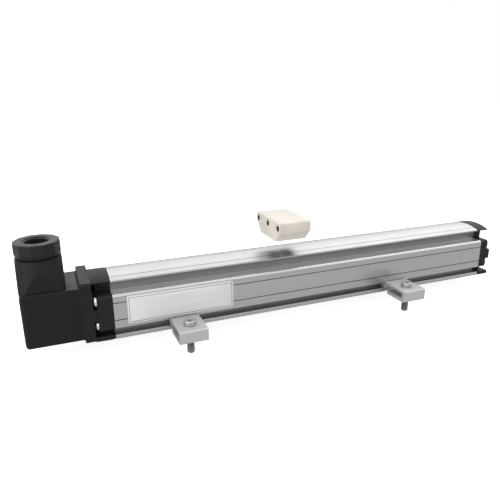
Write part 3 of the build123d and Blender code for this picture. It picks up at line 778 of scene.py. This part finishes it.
class LINEARSCALE_OT_clamps(bpy.types.Operator):
    """Finishes the foot clamps"""

    bl_idname = "linear_scale.clamps"
    bl_label = "Foot clamps"

    def execute(self, context):
        names = [name for name in NODES if name.endswith("_clamp")]
        dress(clamp_metal(context.scene.linear_scale_colours), *names)
        return {"FINISHED"}


def socket_screw(sizes, height, length, head_radius, shank_radius):
    """Socket head cap screw with its seat at z = 0: fluted head, hexagon socket with a
    coned floor, threaded shank and a coned tip. The head's radius falls by the size of a
    cosine wave round the head, so that it has shallow grip flutes."""
    slices = sizes.screw_slices
    wave = 0.5 + 0.5 * np.cos(HEAD_FLUTES * turn_steps(slices))
    flute = head_radius * (1 - FLUTE_DEPTH * wave)
    socket = polygon_radius(slices, 6, sizes.socket_width / 2)
    socket_mouth = socket * 1.08
    socket_floor = height * 0.45
    edge = head_radius * 0.12
    tip = shank_radius * 0.3
    head = [
        (0, shank_radius),
        (0, head_radius - edge / 2),
        (edge / 2, flute),
        (height - edge, flute),
        *round_edge(height, head_radius, edge, 1),
        (height, socket_mouth),
        (height - edge / 2, socket),
        (socket_floor, socket),
        (socket_floor - edge, 0),
    ]
    end = [(-length + tip, shank_radius), (-length, shank_radius - tip), (-length, 0)]
    thread = thread_sheet(
        0, -length + tip, shank_radius, sizes.clamp_pitch, sizes.thread_depth, slices
    )
    return [turned_sheet(head, slices), thread, turned_sheet(end, slices)]


class LINEARSCALE_OT_clamp_screws(bpy.types.Operator):
    """Makes the four socket head screws of the foot clamps"""

    bl_idname = "linear_scale.clamp_screws"
    bl_label = "Clamp screws"

    def execute(self, context):
        sizes = context.scene.linear_scale_sizes
        zinc = clamp_screw_zinc()
        for name in [name for name in NODES if name.endswith("_clamp_screw")]:
            low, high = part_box(name)
            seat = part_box(name.removesuffix("_screw"))[1].z + sizes.seat_gap
            sheets = socket_screw(
                sizes, high.z - seat, seat - low.z, (high.x - low.x) / 2, sizes.clamp_shank
            )
            place = ((low.x + high.x) / 2, (low.y + high.y) / 2, seat)
            piece = mesh_piece(f"{name}_threaded", [sheet + place for sheet in sheets])
            settle(piece, zinc, "zinc_screw", name, name)
        return {"FINISHED"}


def cross_head_sheet(sizes, height, radius, rings=26):
    """Domed pan head with a cross recess, seen as a height over the disc: the dome falls with
    the fourth power of the distance from the axis, less a cross of two slots whose walls and
    ends are short straight ramps."""
    slices = sizes.screw_slices
    angle = turn_steps(slices)
    inner_radius = radius * 0.97
    skirt_height = height * 0.06
    dome_drop = 0.42
    recess_depth = height * 0.55
    recess_fade = sizes.recess_reach * 0.3
    wall = sizes.recess_width * 0.25
    reach = np.concatenate([[radius], np.linspace(inner_radius, 0, rings)])[:, None]
    x = reach * np.cos(angle)
    y = reach * np.sin(angle)
    dome = height * (1 - dome_drop * (reach / radius) ** 4)
    in_x, in_y = (
        np.clip((sizes.recess_width / 2 + wall - np.abs(side)) / wall, 0, 1) for side in (x, y)
    )
    within = np.clip((sizes.recess_reach - reach) / recess_fade, 0, 1)
    level = dome - np.maximum(in_x, in_y) * within * recess_depth
    skirt = turned_sheet([(0, 0), (0, inner_radius), (skirt_height, radius)], slices)
    crown = np.stack([x, y, np.broadcast_to(level, x.shape)], axis=-1)
    return [np.concatenate([skirt, crown])]


class LINEARSCALE_OT_cap_screws(bpy.types.Operator):
    """Makes the four pan head screws of each end cap"""

    bl_idname = "linear_scale.cap_screws"
    bl_label = "Cap screws"

    def execute(self, context):
        sizes = context.scene.linear_scale_sizes
        zinc = zinc_plate()
        head_height, head_radius = sizes.cap_head_height, sizes.cap_head
        for name, outward in (("near_cap_screws", -1), ("far_cap_screws", 1)):
            low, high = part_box(name)
            outer = high.x if outward > 0 else low.x
            inner = low.x if outward > 0 else high.x
            seat = outer - outward * head_height
            length = abs(seat - inner)
            sheets = cross_head_sheet(sizes, head_height, head_radius)
            slices = sizes.hidden_slices
            thread = thread_sheet(
                0, -length, sizes.cap_shank, sizes.cap_pitch, sizes.thread_depth / 2, slices
            )
            tip = turned_sheet([(-length, sizes.cap_shank), (-length, 0)], slices)
            sheets += [thread, tip]
            spots = [
                (seat, y, z)
                for y in (low.y + head_radius, high.y - head_radius)
                for z in (low.z + head_radius, high.z - head_radius)
            ]
            placed = [
                aimed(sheet, spot, (outward, 0, 0)) for spot in spots for sheet in sheets
            ]
            piece = mesh_piece(f"{name}_crossed", placed)
            settle(piece, zinc, "zinc_screw", "profile", name)
        return {"FINISHED"}


class LINEARSCALE_OT_gland_nut(bpy.types.Operator):
    """Makes the twelve sided gland nut with its coned mouth"""

    bl_idname = "linear_scale.gland_nut"
    bl_label = "Gland nut"

    def execute(self, context):
        sizes = context.scene.linear_scale_sizes
        low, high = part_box("gland_nut")
        slices = 2 * sizes.screw_slices
        middle = (low + high) / 2
        half_width = (high.x - low.x) / 2
        hole, thread, collar = sizes.nut_hole, sizes.nut_thread, sizes.nut_collar
        mouth = sizes.nut_mouth
        head_bottom = high.z - sizes.nut_head_height
        collar_bottom = head_bottom - sizes.nut_collar_height
        corner = half_width / math.cos(TURN / NUT_SIDES / 2)
        flats = polygon_radius(slices, NUT_SIDES, half_width)
        past_flat = np.minimum(flats, corner * NUT_BLUNTING) - half_width
        edge = sizes.edge_round
        fine_edge = edge / 3
        foot = round_edge(head_bottom, half_width, fine_edge, -1)
        crown = round_edge(high.z, half_width, edge, 1)
        lip = round_edge(high.z, hole + mouth, fine_edge, 1)
        stations = [
            (low.z, hole),
            (low.z, thread - edge / 2),
            (low.z + edge / 2, thread),
            (collar_bottom, thread),
            (collar_bottom, collar),
            (head_bottom, collar),
            *[(z, r + past_flat) for z, r in reversed(foot)],
            *[(z, r + past_flat) for z, r in crown],
            *[(z, 2 * (hole + mouth) - r) for z, r in reversed(lip)],
            (high.z - mouth, hole),
            (low.z, hole),
        ]
        sheet = turned_sheet(stations, slices) + np.array([middle.x, middle.y, 0])
        piece = mesh_piece("gland_nut_faceted", [sheet], smooth_angle=0.2)
        material = nut_plastic(context.scene.linear_scale_colours)
        settle(piece, material, "nut_plastic", "gland_nut", "gland_nut")
        return {"FINISHED"}


class LINEARSCALE_OT_rating_plate(bpy.types.Operator):
    """Makes the bare rating plate on the front wall"""

    bl_idname = "linear_scale.rating_plate"
    bl_label = "Rating plate"

    def execute(self, context):
        sizes = context.scene.linear_scale_sizes
        low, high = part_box("rating_plate")
        piece = mesh_piece("rating_plate_film", [plate_sheet(low, high, sizes.plate_corner)])
        material = plate_film(context.scene.linear_scale_colours, sizes)
        settle(piece, material, "label_film", "profile", "rating_plate")
        return {"FINISHED"}


def plate_sheet(low, high, corner, steps=8):
    """Thin plate in the XZ plane. Its outline is four corner arcs joined by straight
    edges; rings of that outline, each a share of it about the middle, make the back, the rim
    and the front, and a short slope between rim and front eases the edge."""
    turn = np.concatenate([np.linspace(q, q + 1, steps) for q in range(4)]) * TURN / 4
    side = np.repeat([[1, 1], [-1, 1], [-1, -1], [1, -1]], steps, axis=0)
    half = np.array([high.x - low.x, high.z - low.z]) / 2
    arc = np.stack([np.cos(turn), np.sin(turn)], axis=-1)
    middle = np.array([high.x + low.x, high.z + low.z]) / 2
    thick = high.y - low.y
    ease_depth, ease_width = thick * 0.4, thick * 0.6
    rings = []
    for share, inset, y in (
        (0, 0, high.y),
        (1, 0, high.y),
        (1, 0, low.y + ease_depth),
        (1, ease_width, low.y),
        (0.5, 0, low.y),
        (0, 0, low.y),
    ):
        outline = side * (half - corner) + arc * (corner - inset)
        flat = middle + outline * share
        rings.append(np.stack([flat[:, 0], np.full(len(flat), y), flat[:, 1]], axis=-1))
    return np.stack(rings)


def floor_finish(stage):
    """Pale floor that keeps a soft shadow; the camera finds it lifted to white."""
    material, tree, shader = material_tree("pale_floor")
    grey = stage.floor_grey
    shader.inputs["Base Color"].default_value = (grey, grey, grey, 1)
    shader.inputs["Roughness"].default_value = 0.9
    shader.inputs["Specular IOR Level"].default_value = 0.0
    shader.inputs["Emission Color"].default_value = (1, 1, 1, 1)
    rays = tree.nodes.new("ShaderNodeLightPath").outputs
    glow = joined(tree, "MULTIPLY", rays["Is Camera Ray"], stage.floor_lift)
    tree.links.new(glow, shader.inputs["Emission Strength"])
    return material


def studio_world(stage):
    """White to the eye, a bright band of sky in reflections, an even grey light otherwise."""
    world = bpy.data.worlds.new("studio")
    world.use_nodes = True
    tree = world.node_tree
    background = tree.nodes["Background"]
    background.inputs["Color"].default_value = (1, 1, 1, 1)
    place = tree.nodes.new("ShaderNodeTexCoord")
    axes = tree.nodes.new("ShaderNodeSeparateXYZ")
    tree.links.new(place.outputs["Generated"], axes.inputs["Vector"])
    slopes = [
        ramped(tree, axes.outputs["Z"], span, (stage.ambient, stage.sky))
        for span in (LOWER_SKY_SLOPE, UPPER_SKY_SLOPE)
    ]
    rays = tree.nodes.new("ShaderNodeLightPath").outputs
    glossy = rays["Is Glossy Ray"]
    eye = joined(tree, "MAXIMUM", rays["Is Camera Ray"], rays["Is Transmission Ray"])
    rest = joined(tree, "SUBTRACT", joined(tree, "SUBTRACT", 1, glossy), eye)
    shine = joined(tree, "MULTIPLY", glossy, joined(tree, "MINIMUM", *slopes))
    fill = joined(tree, "MULTIPLY", rest, stage.ambient)
    total = joined(tree, "ADD", joined(tree, "ADD", shine, fill), eye)
    tree.links.new(total, background.inputs["Strength"])
    return world


def softbox(name, place, target, size, power):
    """Rectangular lamp that faces its target."""
    lamp = bpy.data.lights.new(name, "AREA")
    lamp.shape = "RECTANGLE"
    lamp.size, lamp.size_y = size
    lamp.energy = power
    holder = bpy.data.objects.new(name, lamp)
    aim = (Vector(target) - Vector(place)).to_track_quat("-Z", "Y")
    holder.matrix_world = Matrix.Translation(place) @ aim.to_matrix().to_4x4()
    bpy.context.scene.collection.objects.link(holder)


def photo_camera(stage):
    """Camera of the photograph. Yaw and pitch give the view's direction, then the picture is
    rolled about it."""
    yaw, pitch, roll = stage.camera_yaw, stage.camera_pitch, stage.camera_roll
    flat = math.cos(pitch)
    ahead = Vector((math.sin(yaw) * flat, math.cos(yaw) * flat, -math.sin(pitch)))
    level = Vector((math.cos(yaw), -math.sin(yaw), 0))
    above = level.cross(ahead)
    right = math.cos(roll) * level + math.sin(roll) * above
    up = math.cos(roll) * above - math.sin(roll) * level
    camera = bpy.data.cameras.new("photo_view")
    camera.lens = stage.camera_lens
    camera.sensor_width = stage.camera_sensor
    camera.clip_start = 0.01
    holder = bpy.data.objects.new("photo_view", camera)
    turn = Matrix((right, up, -ahead)).transposed().to_4x4()
    holder.matrix_world = Matrix.Translation(Vector(stage.camera_place)) @ turn
    bpy.context.scene.collection.objects.link(holder)
    return holder


def floor_sheet(level, first=0.05, reach=4.0, rows=24, slices=64):
    """Flat floor as rings round the middle, each wider than the last by the same share."""
    radii = np.concatenate([[0], np.geomspace(first, reach, rows)])
    return turned_sheet([(level, radius) for radius in radii], slices)


class LINEARSCALE_OT_stage(bpy.types.Operator):
    """Makes the floor, the lamps, the world and the camera"""

    bl_idname = "linear_scale.stage"
    bl_label = "Stage"

    def execute(self, context):
        stage = context.scene.linear_scale_stage
        low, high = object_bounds()
        floor = mesh_piece("pale_floor", [floor_sheet(low.z)])
        if floor.data.polygons[0].normal.z < 0:
            floor.data.flip_normals()
        floor.data.materials.append(floor_finish(stage))
        floor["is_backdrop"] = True
        context.scene.world = studio_world(stage)
        softbox(
            "key_softbox", place=(0.0, 0.05, 0.9), target=(0, 0, 0),
            size=(2.4, 2.0), power=stage.key_power,
        )
        softbox(
            "front_softbox", place=(-0.85, -0.45, 0.35), target=(0, 0, 0.02),
            size=(0.7, 0.5), power=stage.fill_power,
        )
        context.scene.camera = photo_camera(stage)
        context.scene.view_settings.view_transform = "Standard"
        return {"FINISHED"}


class LINEARSCALE_PT_sidebar(bpy.types.Panel):
    """Lists the pieces of the linear scale"""

    bl_label = "Linear scale"
    bl_idname = "LINEARSCALE_PT_sidebar"
    bl_space_type = "VIEW_3D"
    bl_region_type = "UI"
    bl_category = "Linear scale"

    def draw(self, context):
        for operator in OPERATORS:
            self.layout.operator(operator.bl_idname)
        for group in ("sizes", "colours", "stage"):
            settings = getattr(context.scene, f"linear_scale_{group}")
            for name in settings.__annotations__:
                self.layout.prop(settings, name)


GROUPS = {
    "linear_scale_sizes": ScaleSizes,
    "linear_scale_colours": ScaleColours,
    "linear_scale_stage": ScaleStage,
}
OPERATORS = (
    LINEARSCALE_OT_profile,
    LINEARSCALE_OT_plug,
    LINEARSCALE_OT_measuring_parts,
    LINEARSCALE_OT_magnet,
    LINEARSCALE_OT_clamps,
    LINEARSCALE_OT_clamp_screws,
    LINEARSCALE_OT_cap_screws,
    LINEARSCALE_OT_gland_nut,
    LINEARSCALE_OT_rating_plate,
    LINEARSCALE_OT_stage,
)


def register():
    for name, group in GROUPS.items():
        bpy.utils.register_class(group)
        setattr(bpy.types.Scene, name, PointerProperty(type=group))
    for operator in OPERATORS:
        bpy.utils.register_class(operator)
    bpy.utils.register_class(LINEARSCALE_PT_sidebar)


def unregister():
    bpy.utils.unregister_class(LINEARSCALE_PT_sidebar)
    for operator in reversed(OPERATORS):
        bpy.utils.unregister_class(operator)
    for name, group in reversed(GROUPS.items()):
        delattr(bpy.types.Scene, name)
        bpy.utils.unregister_class(group)


def main():
    register()
    bpy.ops.linear_scale.profile()
    bpy.ops.linear_scale.plug()
    bpy.ops.linear_scale.measuring_parts()
    bpy.ops.linear_scale.magnet()
    bpy.ops.linear_scale.clamps()
    bpy.ops.linear_scale.clamp_screws()
    bpy.ops.linear_scale.cap_screws()
    bpy.ops.linear_scale.gland_nut()
    bpy.ops.linear_scale.rating_plate()
    bpy.ops.linear_scale.stage()


if __name__ == "__main__":
    main()
